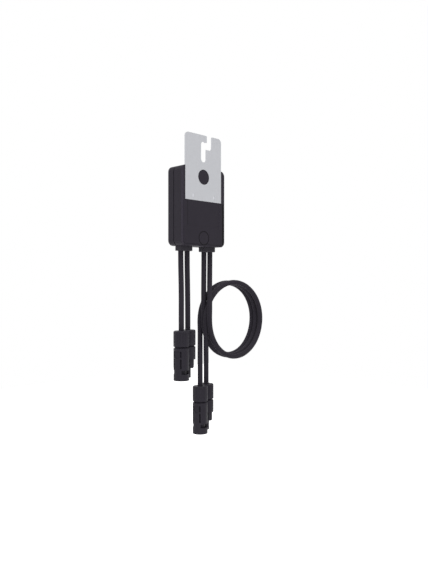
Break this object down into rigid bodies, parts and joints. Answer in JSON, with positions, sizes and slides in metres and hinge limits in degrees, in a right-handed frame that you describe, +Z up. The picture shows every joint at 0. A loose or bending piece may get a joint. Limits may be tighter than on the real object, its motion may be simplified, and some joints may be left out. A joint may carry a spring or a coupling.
{
  "type": "solar power optimizer",
  "caption": "Flat sealed housing with a slotted hanging plate, short input cables and long output cables wound into a ring, all with round connectors.",
  "frame": {"origin": "centre of the hanging slot's round upper end, in the front face of the plate", "axes": "+X to the right seen from the front, +Y to the back, +Z up"},
  "size_m": [0.1506, 0.0362, 0.3589],
  "materials": {
    "housing": "fine moulded grain",
    "plate": "matt, light grey",
    "boot": "moulded",
    "cable": "matt sheath",
    "connector": "moulded, slightly satin",
    "clamp": "moulded",
    "seal": "matt",
    "contact": "tinned",
    "board": "varnished glass fibre",
    "steel": "plated",
    "ferrite": "matt",
    "copper": "varnished copper",
    "component": "moulded case",
    "pad": "soft",
    "spreader": "rolled",
    "potting": "cast"
  },
  "bodies": {
    "root": {"front_shell": "housing", "rear_cover": "housing", "mounting_plate": "plate", "cable_boot_left": "boot", "cable_boot_right": "boot", "cable_coil_front": "cable", "cable_coil_rear": "cable", "input_sleeve_cable": "cable", "input_plug_cable": "cable", "output_sleeve_cable_upper": "cable", "output_plug_cable_upper": "cable", "output_sleeve_cable_lower": "cable", "output_plug_cable_lower": "cable", "circuit_board": "board", "board_screws": "steel", "inductor_core": "ferrite", "inductor_winding": "copper", "film_capacitors": "component", "bulk_capacitors": "component", "controller_chip": "ferrite", "power_transistors": "ferrite", "thermal_pad": "pad", "heat_spreader": "spreader", "cable_terminals": "copper", "potting_compound": "potting", "input_sleeve_cap_nut": "connector", "input_sleeve_clamp_ring": "clamp", "input_sleeve_cable_seal": "seal", "input_sleeve_body": "connector", "input_sleeve_contact": "contact", "input_plug_cap_nut": "connector", "input_plug_clamp_ring": "clamp", "input_plug_cable_seal": "seal", "input_plug_body": "connector", "input_plug_contact": "contact", "input_plug_nose_seal": "seal", "output_sleeve_cap_nut": "connector", "output_sleeve_clamp_ring": "clamp", "output_sleeve_cable_seal": "seal", "output_sleeve_body": "connector", "output_sleeve_contact": "contact", "output_plug_cap_nut": "connector", "output_plug_clamp_ring": "clamp", "output_plug_cable_seal": "seal", "output_plug_body": "connector", "output_plug_contact": "contact", "output_plug_nose_seal": "seal"}
  },
  "joints": []
}
